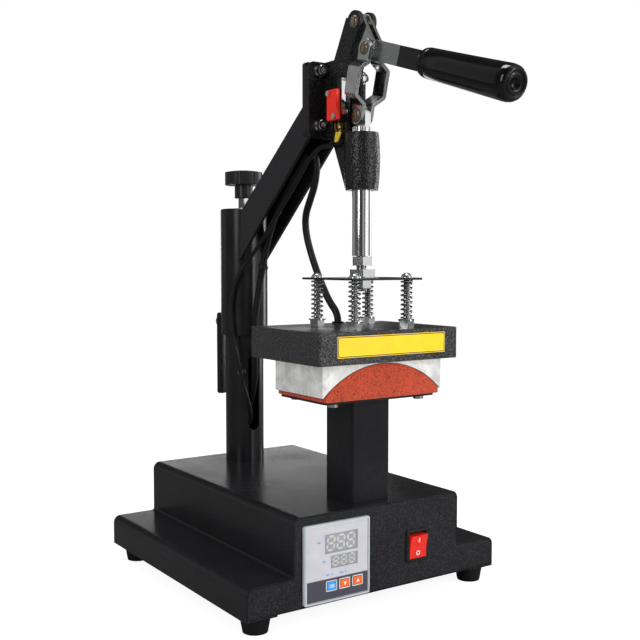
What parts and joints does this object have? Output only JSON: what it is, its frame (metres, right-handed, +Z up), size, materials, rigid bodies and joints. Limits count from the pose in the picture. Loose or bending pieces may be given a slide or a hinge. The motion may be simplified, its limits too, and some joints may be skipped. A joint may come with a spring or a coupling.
{
  "type": "cap heat press",
  "caption": "Bench press with a hand lever and toggle that lowers a curved, electrically heated platen onto a domed silicone pad for cap fronts.",
  "frame": {"origin": "centre of the base's footprint, on the plane the rubber feet stand on", "axes": "+Z up, +X to the operator's right, -Y towards the operator"},
  "size_m": [0.288, 0.4659, 0.5553],
  "materials": {
    "black_powder_coat": "textured powder coat",
    "black_gloss_paint": "gloss paint",
    "black_casting": "painted casting",
    "black_rubber": "matte",
    "grey_plastic": "satin",
    "display_grey": "gloss",
    "blue_button": "satin",
    "orange_button": "satin",
    "black_plastic": "satin",
    "red_plastic": "gloss",
    "rocker_housing_black": "gloss",
    "zinc_steel": "zinc plated",
    "pin_brass": "machined",
    "chrome_rod": "ground",
    "dipped_grip": "gloss",
    "cast_aluminium": "machined",
    "heater_steel": "satin",
    "glass_fibre": "matte",
    "label_yellow": "satin",
    "thin_plate_black": "satin",
    "silicone_red": "matte sponge",
    "cable_black": "satin"
  },
  "bodies": {
    "base": {"base_shell": "black_powder_coat", "front_panel": "black_powder_coat", "rear_panel": "black_powder_coat", "bottom_plate": "black_powder_coat", "rubber_feet": "black_rubber", "foot_screws": "zinc_steel", "controller_case": "grey_plastic", "controller_face": "grey_plastic", "display_windows": "display_grey", "rocker_housing": "rocker_housing_black", "power_inlet": "black_plastic", "solid_state_relay": "black_plastic", "column_post": "black_gloss_paint", "column_screw": "zinc_steel", "pillar": "black_powder_coat", "lower_plate": "thin_plate_black", "silicone_pad": "silicone_red", "pad_bolts": "zinc_steel"},
    "head": {"column_sleeve": "black_powder_coat", "arm_channel": "black_powder_coat", "arm_end_plate": "black_powder_coat", "toggle_body": "black_casting", "stop_screw": "zinc_steel", "mount_bolts": "zinc_steel", "top_pivot_pin": "pin_brass", "switch_case": "black_plastic", "switch_cover": "red_plastic", "switch_screws": "zinc_steel", "heater_cable_lower": "cable_black", "switch_cable": "cable_black", "cable_ties": "black_plastic"},
    "adjuster": {"height_screw": "zinc_steel", "jam_nut": "zinc_steel", "height_knob": "black_plastic"},
    "clamp": {"clamp_lever": "black_powder_coat", "clamp_screw": "zinc_steel"},
    "lever": {"lever_plates": "zinc_steel", "handle_bar": "zinc_steel", "handle_grip": "dipped_grip", "middle_pivot_pin": "pin_brass"},
    "linkage": {"links": "zinc_steel"},
    "plunger": {"plunger_rod": "chrome_rod", "lower_pivot_pin": "pin_brass", "plunger_nuts": "zinc_steel", "spring_plate": "black_gloss_paint", "platen_springs": "zinc_steel"},
    "platen": {"platen_cover": "black_powder_coat", "heating_block": "cast_aluminium", "heater_elements": "heater_steel", "insulation_board": "glass_fibre", "platen_bolts": "zinc_steel", "base_nuts": "zinc_steel", "blank_label": "label_yellow", "cable_grommet": "black_rubber", "heater_cable_upper": "cable_black"},
    "rocker": {"rocker_key": "red_plastic"},
    "set_key": {"set_button": "blue_button"},
    "down_key": {"down_button": "orange_button"},
    "up_key": {"up_button": "orange_button"},
    "switch_arm": {"switch_lever": "zinc_steel"}
  },
  "joints": [
    {"name": "height_knob_turn", "type": "hinge", "parent": "head", "child": "adjuster", "pos_m": [0, 0.107, 0.4], "axis": [0, 0, 1], "range_deg": [0, 7200]},
    {"name": "head_height", "type": "slide", "parent": "base", "child": "head", "axis": [0, 0, 1], "range_m": [0, 0.03], "deforming": ["heater_cable_lower", "switch_cable"]},
    {"name": "clamp_lever_turn", "type": "hinge", "parent": "head", "child": "clamp", "pos_m": [-0.01253, 0.13057, 0.2555], "axis": [0.4695, -0.8829, 0], "range_deg": [0, 90]},
    {"name": "handle_swing", "type": "hinge", "parent": "head", "child": "lever", "pos_m": [0, -0.116, 0.5449], "axis": [-1, 0, 0], "range_deg": [0, 60]},
    {"name": "link_swing", "type": "hinge", "parent": "lever", "child": "linkage", "pos_m": [0, -0.1315, 0.5179], "axis": [-1, 0, 0], "range_deg": [-77, 0]},
    {"name": "plunger_slide", "type": "slide", "parent": "head", "child": "plunger", "axis": [0, 0, 1], "range_m": [0, 0.0321], "deforming": ["heater_cable_upper"]},
    {"name": "platen_float", "type": "slide", "parent": "plunger", "child": "platen", "axis": [0, 0, 1], "range_m": [0, 0.006], "stiffness_N_per_m": 6000, "springref_m": -0.006, "deforming": ["platen_springs"]},
    {"name": "rocker_tilt", "type": "hinge", "parent": "base", "child": "rocker", "pos_m": [0.0438, -0.1425, 0.0525], "axis": [-1, 0, 0], "range_deg": [0, 16]},
    {"name": "set_press", "type": "slide", "parent": "base", "child": "set_key", "axis": [0, 1, 0], "range_m": [0, 0.0007], "stiffness_N_per_m": 800, "springref_m": -0.0005},
    {"name": "down_press", "type": "slide", "parent": "base", "child": "down_key", "axis": [0, 1, 0], "range_m": [0, 0.0007], "stiffness_N_per_m": 800, "springref_m": -0.0005},
    {"name": "up_press", "type": "slide", "parent": "base", "child": "up_key", "axis": [0, 1, 0], "range_m": [0, 0.0007], "stiffness_N_per_m": 800, "springref_m": -0.0005},
    {"name": "switch_lever_press", "type": "hinge", "parent": "head", "child": "switch_arm", "pos_m": [-0.0128, -0.1042, 0.493], "axis": [1, 0, 0], "range_deg": [0, 2.4], "stiffness_Nm_per_rad": 0.1, "springref_deg": -17.19}
  ],
  "couplings": [
    {"joint": "height_knob_turn", "follows": "head_height", "rad_per_m": 4188.8},
    {"joint": "link_swing", "follows": "handle_swing", "ratio": -1.28},
    {"joint": "plunger_slide", "follows": "handle_swing", "m_per_rad": 0.0306}
  ]
}
